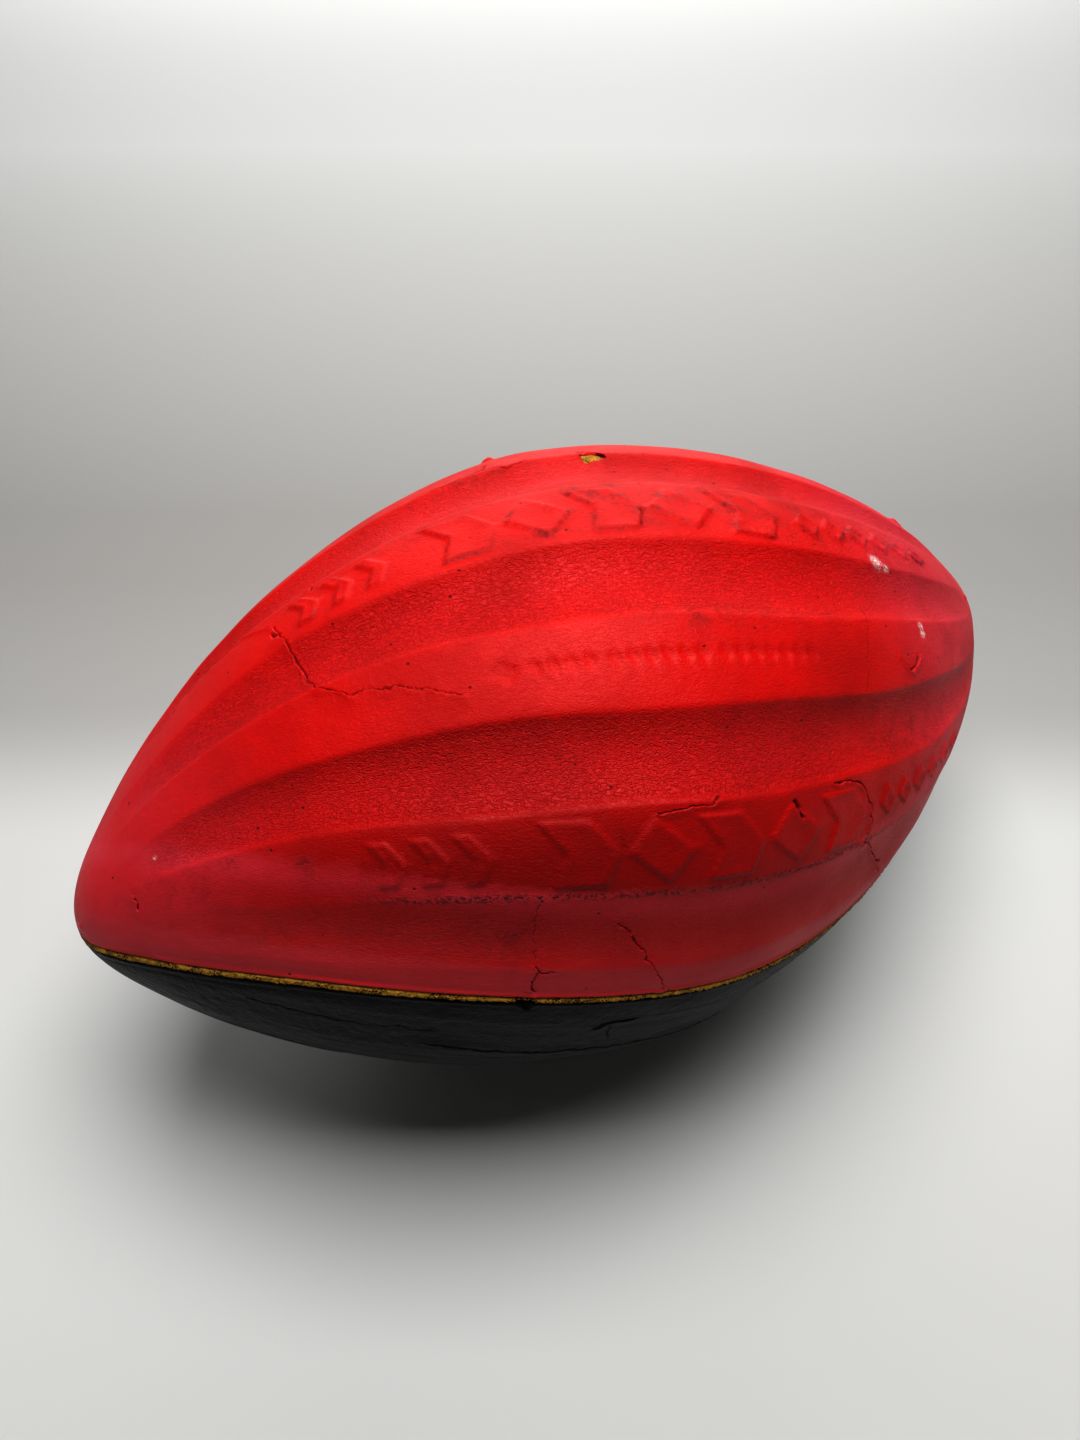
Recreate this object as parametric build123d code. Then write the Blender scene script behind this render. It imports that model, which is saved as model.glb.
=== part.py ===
"""Foam football: a moulded polyurethane foam spindle with twelve twisted ribs.

Frame: the origin is the middle of the ball, +X runs along the long axis to one tip,
+Z points up through the red half, and -Y points at one of the two parting lines.
Units are millimetres.
"""

import os
from math import cos, radians, sin

from build123d import *

# Overall sizes
LENGTH = 250.0  # tip to tip
DIAMETER = 150.0  # across the ribs at the middle
PROFILE_ROUNDNESS = 1.78  # how long the middle stays full
PROFILE_TAPER = 0.715  # how quickly the ends close

# Ribs and flutes
RIB_COUNT = 12
RIB_ANGLE = 15.0  # part of the turn that one rib takes, in degrees
FLUTE_DEPTH = 3.5  # at the middle of the ball
SEAM_FLUTE_DEPTH = 0.8  # of the flutes beside the parting lines, where the mould has to draw off
FLUTE_FADE = 4.0  # power with which the flutes run out towards the noses
TWIST_PER_MM = 0.216  # turn of the ribs about +X, in degrees

# Smooth noses
NOSE_LENGTH = 15.0
NOSE_REACH = 6.0  # how far the nose goes on in the body's own slope
NOSE_BLUNTNESS = 9.0  # half-width of the flat that the tip is rounded from

# Layers
SKIN_THICKNESS = 1.2  # each coloured coating over the foam
SEAM_WIDTH = 1.4  # foam line left bare between the two coatings
SEAM_PROUD = 0.3  # foam flash standing above the coatings

STATION_COUNT = 17  # sections that one fluted body passes through
SLAB_MARGIN = 20.0  # how far the parting slab passes the ball on each side


def body_radius(x, length, diameter):
    """Radius over the ribs at x, for a body of this length and diameter."""
    share = abs(x) / (length / 2)
    return diameter / 2 * (1 - share**PROFILE_ROUNDNESS) ** PROFILE_TAPER


def body_slope(x, length, diameter):
    """Change of that radius per millimetre of x, for x above zero."""
    share = x / (length / 2)
    rest = 1 - share**PROFILE_ROUNDNESS
    per_share = -PROFILE_ROUNDNESS * share ** (PROFILE_ROUNDNESS - 1)
    power = PROFILE_TAPER * rest ** (PROFILE_TAPER - 1)
    return diameter / 2 * power * per_share / (length / 2)


def section(x, end, length, diameter):
    """Closed lobed face across the axis at x; the flutes are gone at x = end."""
    ribs = body_radius(x, length, diameter)
    fade = 1 - (abs(x) / end) ** FLUTE_FADE
    pitch = 360 / RIB_COUNT
    half_count = RIB_COUNT // 2
    turn = TWIST_PER_MM * x

    def point(radius, angle):
        # Angles run from +Y towards +Z, with a rib centred on each parting line.
        a = radians(angle + turn)
        return (x, radius * cos(a), radius * sin(a))

    edges = []
    for k in range(RIB_COUNT):
        middle = k * pitch
        first = middle - RIB_ANGLE / 2
        last = middle + RIB_ANGLE / 2
        trough = middle + pitch / 2
        beside_seam = k % half_count in (0, half_count - 1)
        depth = fade * (SEAM_FLUTE_DEPTH if beside_seam else FLUTE_DEPTH)
        rib_start = point(ribs, first)
        rib_end = point(ribs, last)
        next_start = point(ribs, first + pitch)
        edges.append(Edge.make_three_point_arc(rib_start, point(ribs, middle), rib_end))
        edges.append(Edge.make_three_point_arc(rib_end, point(ribs - depth, trough), next_start))
    return Face(Wire(edges))


def nose(side, end, length, diameter):
    """Smooth round cap from x = end to the tip, on the side +1 or -1 of the ball."""
    tip = length / 2
    radius = body_radius(end, length, diameter)
    slope = body_slope(end, length, diameter)
    curve = Bezier(
        (end, radius),
        (end + NOSE_REACH, radius + NOSE_REACH * slope),
        (tip, NOSE_BLUNTNESS),
        (tip, 0),
    )
    base = Line((end, 0), (end, radius))
    axis = Line((tip, 0), (end, 0))
    cap = revolve(make_face(base + curve + axis), Axis.X)
    if side < 0:
        cap = mirror(cap, Plane.YZ)
    return cap


def spindle(inset):
    """The whole fluted ball, with its surface moved in by inset (out, if negative)."""
    length = LENGTH - 2 * inset
    diameter = DIAMETER - 2 * inset
    end = LENGTH / 2 - NOSE_LENGTH
    step = 2 * end / (STATION_COUNT - 1)
    stations = [-end + i * step for i in range(STATION_COUNT)]
    fluted = loft([section(x, end, length, diameter) for x in stations])
    return fluted + nose(1, end, length, diameter) + nose(-1, end, length, diameter)


def parting_slab():
    """Twisted slab, as thick as the bare foam line, that follows the two seam ribs."""
    reach = LENGTH / 2 + SLAB_MARGIN
    half_width = DIAMETER / 2 + SLAB_MARGIN
    half_seam = SEAM_WIDTH / 2
    step = 2 * reach / (STATION_COUNT - 1)
    corners = [(-1, -1), (1, -1), (1, 1), (-1, 1)]
    faces = []
    for i in range(STATION_COUNT):
        x = -reach + i * step
        outline = Polyline([(x, side * half_width, up * half_seam) for side, up in corners], close=True)
        faces.append(make_face(outline).rotate(Axis.X, TWIST_PER_MM * x))
    return loft(faces)


def build():
    """The foam core and its two coloured skins, by node name."""
    outer = spindle(0)
    inner = spindle(SKIN_THICKNESS)
    slab = parting_slab()
    halves = (outer - inner - slab).solids().sort_by(Axis.Z)
    ridge = spindle(-SEAM_PROUD) & slab
    return {
        "foam_core": inner + ridge,
        "red_skin": halves[-1],
        "black_skin": halves[0],
    }


def main():
    """Write one STEP file for each node."""
    os.makedirs("parts", exist_ok=True)
    for name, shape in build().items():
        export_step(shape, f"parts/{name}.step")


main()
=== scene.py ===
from math import atan2, cos, pi, radians

import bpy
import numpy as np
from bpy.props import FloatProperty, FloatVectorProperty, IntProperty, PointerProperty, StringProperty
from mathutils import Matrix, Vector, noise


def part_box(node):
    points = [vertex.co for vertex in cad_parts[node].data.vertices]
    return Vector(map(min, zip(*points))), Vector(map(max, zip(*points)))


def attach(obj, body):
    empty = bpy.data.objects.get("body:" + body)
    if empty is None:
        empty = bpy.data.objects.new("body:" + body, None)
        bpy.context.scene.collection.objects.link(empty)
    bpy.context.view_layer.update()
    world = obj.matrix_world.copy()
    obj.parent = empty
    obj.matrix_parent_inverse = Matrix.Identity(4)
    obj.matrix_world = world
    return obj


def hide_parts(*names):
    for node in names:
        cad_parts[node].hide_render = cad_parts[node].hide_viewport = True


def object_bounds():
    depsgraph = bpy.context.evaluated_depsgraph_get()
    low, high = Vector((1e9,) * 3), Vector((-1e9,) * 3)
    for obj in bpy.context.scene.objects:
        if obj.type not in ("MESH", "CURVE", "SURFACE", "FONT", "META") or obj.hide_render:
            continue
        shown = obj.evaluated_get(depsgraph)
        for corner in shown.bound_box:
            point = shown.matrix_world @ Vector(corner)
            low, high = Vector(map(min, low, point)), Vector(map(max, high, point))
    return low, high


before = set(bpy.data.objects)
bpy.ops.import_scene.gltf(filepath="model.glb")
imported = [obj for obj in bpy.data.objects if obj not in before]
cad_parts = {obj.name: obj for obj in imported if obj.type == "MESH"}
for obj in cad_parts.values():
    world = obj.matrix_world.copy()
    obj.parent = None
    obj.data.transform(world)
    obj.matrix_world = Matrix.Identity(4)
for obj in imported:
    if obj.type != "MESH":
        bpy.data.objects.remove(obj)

bl_info = {
    "name": "Foam football",
    "version": (1, 0, 0),
    "blender": (4, 5, 0),
    "location": "3D View > Sidebar > Football",
    "description": "A worn two-colour foam football with twisted ribs, built around its packed frame",
    "category": "Add Mesh",
}

# Every length below is in metres. The ball is modelled straight, with its ribs along X, and is
# twisted last. A place on it is then an x along the ball and an angle round it, from +Y towards +Z.
MM = 0.001
CAD_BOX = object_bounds()
SKIN_LOW, SKIN_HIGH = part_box("red_skin")

# Points round and along the sphere that each shape is pressed from.
SKIN_GRID = (240, 180)
LINING_GRID = (72, 60)
CORE_GRID = (200, 150)


# ---------------------------------------------------------------- sizes and colours


class BallSizes(bpy.types.PropertyGroup):
    """Sizes of the ball. The overall ones come from the frame."""

    length: FloatProperty(
        name="Length", description="Tip to tip", unit="LENGTH", default=SKIN_HIGH.x - SKIN_LOW.x
    )
    diameter: FloatProperty(
        name="Diameter", description="Across the ribs", unit="LENGTH", default=SKIN_HIGH.y - SKIN_LOW.y
    )
    roundness: FloatProperty(
        name="Roundness", description="How long the middle stays full", default=1.78
    )
    taper: FloatProperty(name="Taper", description="How quickly the ends close", default=0.715)
    rib_count: IntProperty(name="Ribs", description="Ribs round the ball", default=12)
    rib_angle: FloatProperty(
        name="Rib angle", description="Part of the turn under one rib", subtype="ANGLE", default=radians(15)
    )
    flute_depth: FloatProperty(
        name="Flute depth", description="At the middle", unit="LENGTH", default=3.5 * MM
    )
    seam_flute_depth: FloatProperty(
        name="Seam flute depth", description="Of the flutes beside the seam", unit="LENGTH", default=0.8 * MM
    )
    edge_softness: FloatProperty(
        name="Edge softness", description="Share of a flute that rounds its edges", default=0.07
    )
    wander: FloatProperty(
        name="Wander", description="How far the rib edges stray", subtype="ANGLE", default=radians(0.25)
    )
    twist: FloatProperty(
        name="Twist", description="Turn of the ribs per metre", subtype="ANGLE", default=radians(216)
    )
    nose_length: FloatProperty(
        name="Nose length", description="Smooth end past the ribs", unit="LENGTH", default=15 * MM
    )
    nose_reach: FloatProperty(
        name="Nose reach", description="Nose in the body's own slope", unit="LENGTH", default=6 * MM
    )
    nose_bluntness: FloatProperty(
        name="Nose bluntness", description="Half-width of the tip's flat", unit="LENGTH", default=9 * MM
    )
    skin: FloatProperty(
        name="Skin", description="Thickness of the coloured skins", unit="LENGTH", default=1.2 * MM
    )
    seam: FloatProperty(
        name="Seam", description="Bare foam between the skins", unit="LENGTH", default=1.6 * MM
    )
    seam_proud: FloatProperty(
        name="Flash", description="Height of the trimmed foam flash", unit="LENGTH", default=0.45 * MM
    )
    seam_drop: FloatProperty(
        name="Seam drop", description="How far the seam sags at one tip", unit="LENGTH", default=1.7 * MM
    )
    relief: FloatProperty(
        name="Relief", description="Height of the moulded motifs", unit="LENGTH", default=0.5 * MM
    )
    waviness: FloatProperty(
        name="Waviness", description="Unevenness of the foam", unit="LENGTH", default=0.35 * MM
    )


class BallColours(bpy.types.PropertyGroup):
    """Colours of the finishes, as sRGB hex values."""

    red: StringProperty(name="Red", description="Red skin", default="#D20C06")
    deep_red: StringProperty(name="Deep red", description="Where the red is thick", default="#BA0704")
    scuff: StringProperty(name="Scuff", description="Rubbed red skin", default="#BE4049")
    # Dulled red of rubbed paint, which also serves as painted light on the ends and painted sheen in the
    # flutes.
    haze_and_painted_light: StringProperty(name="Haze", description="Dulled red of the two ends", default="#E03A49")
    dirt: StringProperty(name="Dirt", description="Handling dirt on the red", default="#3A0C0E")
    # Painted shade inside the cracks and in the rubbed pits.
    crack: StringProperty(name="Crack", description="Inside a crack", default="#400708")
    # Painted shade: a deeper red for the lowest full rib on the front.
    painted_rib_shade: StringProperty(name="Worn", description="Handled red, low on the front", default="#8E0201")
    fleck: StringProperty(name="Fleck", description="Chalky rub marks", default="#FFF0EC")
    black: StringProperty(name="Black", description="Black skin", default="#040508")
    black_scuff: StringProperty(name="Black scuff", description="Rubbed black skin", default="#14171D")
    foam: StringProperty(name="Foam", description="Bare foam", default="#D9A03A")
    foam_pit: StringProperty(name="Foam pit", description="Pits in the foam", default="#2C1D08")
    floor: StringProperty(name="Floor", description="Studio floor", default="#D4D4D2")
    # Painted shade: the grey fade on the floor behind the ball.
    floor_shade: StringProperty(name="Floor fade", description="Floor behind the ball", default="#A5A3A0")
    # Painted light: the floor and wall paler far behind.
    far_floor_painted_light: StringProperty(name="Far floor", description="Floor and wall far behind", default="#EEEEEC")


class StageSettings(bpy.types.PropertyGroup):
    """The camera and the lights."""

    camera_place: FloatVectorProperty(
        name="Camera",
        description="From the ball's middle",
        unit="LENGTH",
        default=(-0.0876, -0.1625, 0.2113),
    )
    camera_back: FloatVectorProperty(
        name="Camera back",
        description="Direction from what is seen to the camera",
        default=(-0.2928, -0.609, 0.7372),
    )
    lens: FloatProperty(name="Lens", description="Focal length in millimetres", default=27.04)
    key_power: FloatProperty(name="Key", description="Soft light overhead, in watts", default=5.5)
    back_power: FloatProperty(name="Back", description="Wide soft light behind, in watts", default=13.5)
    ambient: FloatProperty(name="Ambient", description="Strength of the room's light", default=0.04)


# ---------------------------------------------------------------- the ball's outline


def nose_curve(sizes):
    """Corners of the blunt nose's curve turned into x and radius, from the last ribs to the tip."""
    half = sizes.length / 2
    start = half - sizes.nose_length
    step = 0.1 * MM
    radius = body_radius(start, sizes)
    slope = (radius - body_radius(start - step, sizes)) / step
    corners = np.array(
        [
            (start, radius),
            (start + sizes.nose_reach, radius + slope * sizes.nose_reach),
            (half, sizes.nose_bluntness),
            (half, 0),
        ]
    )
    t = np.linspace(0, 1, 400)[:, None]
    weights = np.hstack([(1 - t) ** 3, 3 * t * (1 - t) ** 2, 3 * t**2 * (1 - t), t**3])
    return weights @ corners


def body_radius(x, sizes):
    """Radius over the ribs, without the rounded noses."""
    share = np.clip(np.abs(x) / (sizes.length / 2), 0, 1)
    return sizes.diameter / 2 * (1 - share**sizes.roundness) ** sizes.taper


def outline_radius(x, sizes):
    """Radius over the ribs at each x, noses included."""
    curve = nose_curve(sizes)
    nose = np.interp(np.abs(x), curve[:, 0], curve[:, 1])
    return np.where(np.abs(x) > curve[0, 0], nose, body_radius(x, sizes))


def flute_drop(x, angle, sizes):
    """How far the flutes sink below the ribs at each place."""
    pitch = 2 * pi / sizes.rib_count
    half_flute = (pitch - sizes.rib_angle) / 2
    wander = np.sin(x / (21 * MM) + 5 * angle) + np.sin(x / (8.7 * MM) - 7 * angle + 2)
    from_trough = np.abs((angle + sizes.wander * wander) % pitch - pitch / 2) / half_flute
    bowl = 1 - from_trough**2
    rounded = (bowl + np.sqrt(bowl**2 + sizes.edge_softness**2)) / 2
    fade = 1 - (np.abs(x) / (sizes.length / 2 - sizes.nose_length)) ** 4
    half_count = sizes.rib_count // 2
    place = np.floor(angle / pitch).astype(int) % half_count
    beside_seam = (place == 0) | (place == half_count - 1)
    depth = np.where(beside_seam, sizes.seam_flute_depth, sizes.flute_depth)
    return depth * rounded * np.clip(fade, 0, 1)


def seam_height(x, sizes):
    """Height of the parting line above the middle plane: it sags towards the left tip."""
    left = np.clip((-x - 80 * MM) / (35 * MM), 0, 1)
    near_tip = np.clip(outline_radius(x, sizes) / (8 * MM), 0, 1)
    return -sizes.seam_drop * left * left * (3 - 2 * left) * near_tip


def smooth(value):
    """0 below 0, 1 above 1 and an even S between."""
    t = np.clip(value, 0, 1)
    return t * t * (3 - 2 * t)


def ripple(points, size, seed):
    """Smooth noise from -1 to 1, with lumps of about that size, at each point."""
    shift = Vector((seed * 7.3, seed * 3.1, seed * 5.7))
    return np.array([noise.noise(Vector(p) / size + shift) for p in points])


# ---------------------------------------------------------------- mesh helpers


def activate(obj):
    """Only obj is selected, and it is the active one."""
    bpy.ops.object.select_all(action="DESELECT")
    obj.select_set(True)
    bpy.context.view_layer.objects.active = obj


def read_points(obj):
    """The mesh's points as rows of x, y and z."""
    co = np.empty(len(obj.data.vertices) * 3)
    obj.data.vertices.foreach_get("co", co)
    return co.reshape(-1, 3)


def write_points(obj, x, angle, radius):
    """Moves every point to its x, angle and radius."""
    co = np.column_stack([x, radius * np.cos(angle), radius * np.sin(angle)])
    obj.data.vertices.foreach_set("co", co.ravel())
    obj.data.update()


def places(co, middle):
    """x, angle and radius of each point, with angles within half a turn of middle."""
    angle = np.arctan2(co[:, 2], co[:, 1])
    angle = (angle - middle + pi) % (2 * pi) - pi + middle
    return co[:, 0], angle, np.hypot(co[:, 1], co[:, 2])


def face_centres(obj):
    """The middle of every face."""
    co = np.empty(len(obj.data.polygons) * 3)
    obj.data.polygons.foreach_get("center", co)
    return co.reshape(-1, 3)


def subdivide_where(obj, wanted):
    """Splits the faces that wanted picks by the place of their middle."""
    activate(obj)
    bpy.ops.object.mode_set(mode="EDIT")
    bpy.ops.mesh.select_mode(type="FACE")
    bpy.ops.mesh.select_all(action="DESELECT")
    bpy.ops.object.mode_set(mode="OBJECT")
    obj.data.polygons.foreach_set("select", wanted(face_centres(obj)))
    bpy.ops.object.mode_set(mode="EDIT")
    bpy.ops.mesh.subdivide(number_cuts=1)
    bpy.ops.object.mode_set(mode="OBJECT")


def add_sphere(name, grid):
    """A unit sphere with its poles on X, which the ball's outline is pressed from."""
    bpy.ops.object.select_all(action="DESELECT")
    segments, rings = grid
    bpy.ops.mesh.primitive_uv_sphere_add(
        segments=segments, ring_count=rings, radius=1, rotation=(0, pi / 2, 0)
    )
    obj = bpy.context.object
    obj.name = name
    obj.data.name = name
    bpy.ops.object.transform_apply(location=False, rotation=True, scale=False)
    return obj


def even_columns(angle, sizes):
    """Draws the columns of points towards the rib edges, where the surface turns."""
    cell = sizes.rib_angle
    pull = 0.68
    return angle - pull * cell / (2 * pi) * np.sin(2 * pi * (angle - cell / 2) / cell)


def store(obj, name, values):
    """Keeps one number for every point, for the materials to read."""
    attribute = obj.data.attributes.new(name, "FLOAT", "POINT")
    attribute.data.foreach_set("value", values.astype(np.float32))


def store_uv(obj, sizes):
    """A UV map in metres: along the ball and round it."""
    co = read_points(obj)
    middle = pi / 2 if co[:, 2].mean() > 0 else -pi / 2
    x, angle, _ = places(co, middle)
    index = np.empty(len(obj.data.loops), int)
    obj.data.loops.foreach_get("vertex_index", index)
    uv = np.column_stack([x[index], angle[index] * sizes.diameter / 2])
    layer = obj.data.uv_layers.new(name="along_and_round")
    layer.data.foreach_set("uv", uv.ravel())


def twist_ribs(obj, sizes):
    """Turns the straight piece into the twisted one."""
    activate(obj)
    modifier = obj.modifiers.new("twist", "SIMPLE_DEFORM")
    modifier.deform_method = "TWIST"
    modifier.deform_axis = "X"
    co = read_points(obj)
    modifier.angle = sizes.twist * (co[:, 0].max() - co[:, 0].min())
    bpy.ops.object.modifier_apply(modifier=modifier.name)


def finish_piece(obj, node, material):
    """Puts the finish on, ties the piece to the frame and checks that its mesh is closed."""
    obj.data.materials.clear()
    obj.data.materials.append(material)
    activate(obj)
    bpy.ops.object.mode_set(mode="EDIT")
    bpy.ops.mesh.select_all(action="SELECT")
    bpy.ops.mesh.normals_make_consistent(inside=False)
    bpy.ops.mesh.select_mode(type="EDGE")
    bpy.ops.mesh.select_all(action="DESELECT")
    bpy.ops.mesh.select_non_manifold()
    bpy.ops.object.mode_set(mode="OBJECT")
    open_edges = sum(e.select for e in obj.data.edges)
    if open_edges:
        raise RuntimeError(f"{obj.name} has {open_edges} open edges")
    bpy.ops.object.shade_smooth()
    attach(obj, "root")
    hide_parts(node)


# ---------------------------------------------------------------- what is moulded and worn


class Motif:
    """One generic chevron or lozenge on a rib, in its own u along the ball and v round it."""

    lean = 0.55  # how far a chevron's arms lean, along the ball for each step round it

    def __init__(self, kind, x, angle, width, height):
        self.kind = kind
        self.x = x * MM
        self.angle = radians(angle)
        self.width = width * MM
        self.height = height * MM

    def distance(self, x, angle, radius):
        """Distance to the shape's outline, below zero inside it."""
        u = x - self.x
        v = (angle - self.angle) * radius
        half_w, half_h = self.width / 2, self.height / 2
        if self.kind == "lozenge":
            share = np.abs(u) / half_w + np.abs(v) / half_h - 1
            return share * half_w * half_h / np.hypot(half_w, half_h)
        stroke = self.width - self.lean * half_h
        from_middle = np.abs(u + self.lean * (np.abs(v) - half_h / 2))
        across = (from_middle - stroke / 2) * cos(self.lean)
        return np.maximum(across, np.abs(v) - half_h)


def raised_rows():
    """The motifs that stand proud: a row of large ones with small ones beyond, on three ribs."""
    rows = []
    for angle, shift in ((30, 0), (90, 0), (150, -4)):
        for k in range(5):
            kind = "chevron" if k % 2 == 0 else "lozenge"
            rows.append(Motif(kind, -24 + 15 * k + shift, angle, 13.5, 14))
        for k in range(3):
            rows.append(Motif("chevron", -58 + 7.5 * k + shift, angle, 6, 9 + 0.6 * k))
        for k in range(6):
            rows.append(Motif("lozenge", 51 + 7 * k + shift, angle, 6, 8.5 - 0.7 * k))
    return rows


def sunk_row():
    """The small motifs sunk in one rib: a large lozenge and three groups of small ones."""
    rows = [Motif("lozenge", -30, 119.5, 5.5, 5.5)]
    for first, count in ((-24.6, 4), (-9.6, 6), (12.4, 7)):
        for k in range(count):
            rows.append(Motif("lozenge", first + 3.4 * k, 119.5, 3.0, 4.0))
    return rows


RAISED = raised_rows()
SUNK = sunk_row()

# Cracks in the skins: points of x in millimetres and angle in degrees, with the width and depth
# of the split and the height to which the skin curls up beside it, in millimetres.
RED_CRACKS = [
    ([(-71, 84), (-65, 89), (-64.5, 95), (-63, 105), (-63, 112), (-58, 116)], 0.3, 0.7, 0.4),
    ([(-58, 116), (-48, 118), (-39, 122)], 0.2, 0.4, 0.3),
    ([(-66.5, 91), (-65.2, 93), (-64.6, 92.5)], 0.5, 0.9, 0.0),
    ([(29.4, 142.5), (34.8, 143.4), (37.6, 144.1), (39.9, 147.3), (40.8, 153.1), (38.5, 157.3)],
     0.26, 0.6, 0.35),
    ([(38.5, 157.3), (41.8, 160.5), (47, 168), (49.6, 174.8)], 0.2, 0.5, 0.3),
    ([(18.2, 144.3), (18.5, 145.9), (19.2, 147.5)], 0.6, 0.8, 0.2),
    ([(-38, 158.5), (-40, 164), (-41.3, 172.1)], 0.1, 0.2, 0.0),
    ([(-41.3, 172.1), (-42.7, 175.7), (-42.7, 179)], 0.26, 0.6, 0.3),
    ([(-41.5, 171.5), (-40, 173), (-38, 173)], 0.3, 0.5, 0.0),
    ([(-23.5, 163), (-20.9, 167.2), (-17.1, 174.6), (-15.7, 178.6)], 0.15, 0.4, 0.25),
    ([(-49, 74), (-52, 80), (-55, 84.5)], 0.3, 0.4, 0.1),
    ([(-26, 67.2), (-16, 67.8), (-9, 65.8), (-4, 68.2), (1, 67)], 0.5, 0.6, 0.1),
    ([(-9, 65.8), (-6, 63)], 0.35, 0.5, 0.0),
    ([(59.5, 120.8), (62.3, 124), (66.8, 121.5)], 0.35, 0.5, 0.55),
    ([(55.1, 108.5), (50.3, 117.3), (45.1, 127.1)], 0.1, 0.12, 0.0),
    ([(-12.3, 144.2), (-5.8, 143.2), (-2.7, 143.2), (-1.3, 143.1), (1, 142.2)], 0.2, 0.4, 0.3),
    ([(-96, 84), (-84, 82.5), (-71, 84)], 0.25, 0.3, 0.0),
    ([(-109.7, 147.4), (-109.5, 153.7)], 0.3, 0.4, 0.2),
]
BLACK_CRACKS = [
    ([(-30, -169.5), (-27.5, -172), (-22.5, -172.3)], 0.4, 0.6, 0.3),
    ([(-27, -171.5), (-26.5, -163.5)], 0.35, 0.6, 0.1),
    ([(-95, -168), (-80, -166.5), (-62, -167)], 0.25, 0.3, 0.0),
    ([(-64, -160), (-45, -158.5), (-20, -158), (5, -158.8)], 0.3, 0.4, 0.1),
]
# What follows also gives x in millimetres and the angle in degrees first, and lengths in millimetres.
# Torn flakes of skin that stand up: then their width and height.
FLAKES = [(-2, 53, 3.0, 0.9), (97, 60, 4.5, 1.0), (112, 100, 3.0, 0.8), (-123.5, 150, 2.5, 0.9)]
# Chalky rub marks: then their half-width.
FLECKS = [(66.2, 97.0, 2.6), (68.8, 98.2, 1.4), (71.8, 113.6, 1.4), (71.6, 115.6, 1.5), (-103, 134.5, 0.6)]
# Smudges of dirt: then their half-widths along and round the ball, and their strength.
SMUDGES = [
    (14, 88.5, 9, 5, 1.0), (2, 87, 14, 7, 0.5), (36, 90, 14, 6, 0.45), (-34, 84.5, 16, 2.5, 0.6),
    (8, 83, 40, 1.8, 0.7), (52, 84, 30, 3, 0.6), (70, 92, 20, 6, 0.5), (22, 66, 14, 3, 0.5),
    (-18, 68, 22, 2.2, 0.6), (14, 113, 16, 4, 0.5), (-100, 150, 18, 8, 0.25), (-80, 162, 26, 7, 0.25),
    (-45, 164, 6, 8, 0.6), (60, 138, 26, 4, 0.55), (-60, 153, 20, 6, 0.3), (85, 120, 18, 9, 0.35),
    (15, 89.5, 4, 3, 1.0), (16.6, 85, 3, 2.5, 1.0), (-76, 148.5, 2.2, 1.6, 1.0), (-90, 145, 1.6, 1.6, 1.0),
    (24, 94, 22, 2, 0.6), (-10, 95, 20, 1.5, 0.5), (-100, 136, 3, 2, 0.4), (-20, 148, 5, 3, 0.5),
]
# The chip in the red skin, down to the foam: then its half-width.
CHIP = (14.7, 67.3, 2.6)
# The notch torn in the black skin at the seam: x, half-width and depth.
TORN_NOTCH = (-44.3, 2.3, 2.2)


def path_distance(x, angle, radius, points):
    """Distance from each place to a crack's path, and which side of it the place is on."""
    best = np.full(len(x), 1.0)
    side = np.zeros(len(x))
    for (x0, a0), (x1, a1) in zip(points[:-1], points[1:]):
        u, v = x - x0 * MM, (angle - radians(a0)) * radius
        du, dv = (x1 - x0) * MM, radians(a1 - a0) * radius
        along = np.clip((u * du + v * dv) / (du * du + dv * dv + 1e-12), 0, 1)
        gap = np.hypot(u - along * du, v - along * dv)
        nearer = gap < best
        best = np.where(nearer, gap, best)
        side = np.where(nearer, np.sign(du * v - dv * u), side)
    return best, side


def spot_distance(x, angle, radius, spot):
    """Distance from each place to a spot given by its x and angle."""
    return np.hypot(x - spot[0] * MM, (angle - radians(spot[1])) * radius)


def nearest_crack(x, angle, radius, cracks):
    """Distance from each place to the nearest crack."""
    gaps = [path_distance(x, angle, radius, points)[0] for points, *_ in cracks]
    return np.min(gaps, axis=0)


def nearest_outline(x, angle, radius):
    """Distance from each place to the nearest edge of a motif."""
    gaps = [np.abs(m.distance(x, angle, radius)) for m in RAISED + SUNK]
    return np.min(gaps, axis=0)


def motif_height(x, angle, radius, sizes):
    """Height of the relief: a flat face with a sunk middle for what is raised, a dent for the rest."""
    height = np.zeros(len(x))
    for m in RAISED:
        inside = -m.distance(x, angle, radius)
        face = smooth(inside / (0.7 * MM) + 0.5)
        middle = smooth((inside - min(m.width, m.height) * 0.2) / (0.6 * MM) + 0.5)
        lip = np.exp(-((inside - 0.5 * MM) / (0.5 * MM)) ** 2)
        height = np.maximum(height, sizes.relief * (0.75 * face - 0.55 * middle + 0.35 * lip * face))
    for m in SUNK:
        inside = -m.distance(x, angle, radius)
        height -= 0.8 * sizes.relief * smooth(inside / (0.6 * MM) + 0.5)
    return height


def crack_relief(x, angle, radius, cracks, wobble):
    """Depth and curled lips of the cracks, and how much painted shade each place gets inside them."""
    height = np.zeros(len(x))
    dark = np.zeros(len(x))
    uneven = 1 + 0.9 * wobble[0] / MM
    for points, width, depth, curl in cracks:
        gap, side = path_distance(x + wobble[0], angle + wobble[1] / radius, radius, points)
        gap = gap / np.clip(uneven, 0.45, 1.6)
        groove = 1 - smooth(gap / (width * MM))
        lip = np.exp(-(((gap - width * MM) / (1.3 * MM)) ** 2)) * (side > 0)
        height += curl * MM * lip * (1 - groove) - depth * MM * groove
        dark = np.maximum(dark, 1 - smooth(gap / (width * 0.75 * MM)))
    return height, dark


# ---------------------------------------------------------------- the skins


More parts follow.
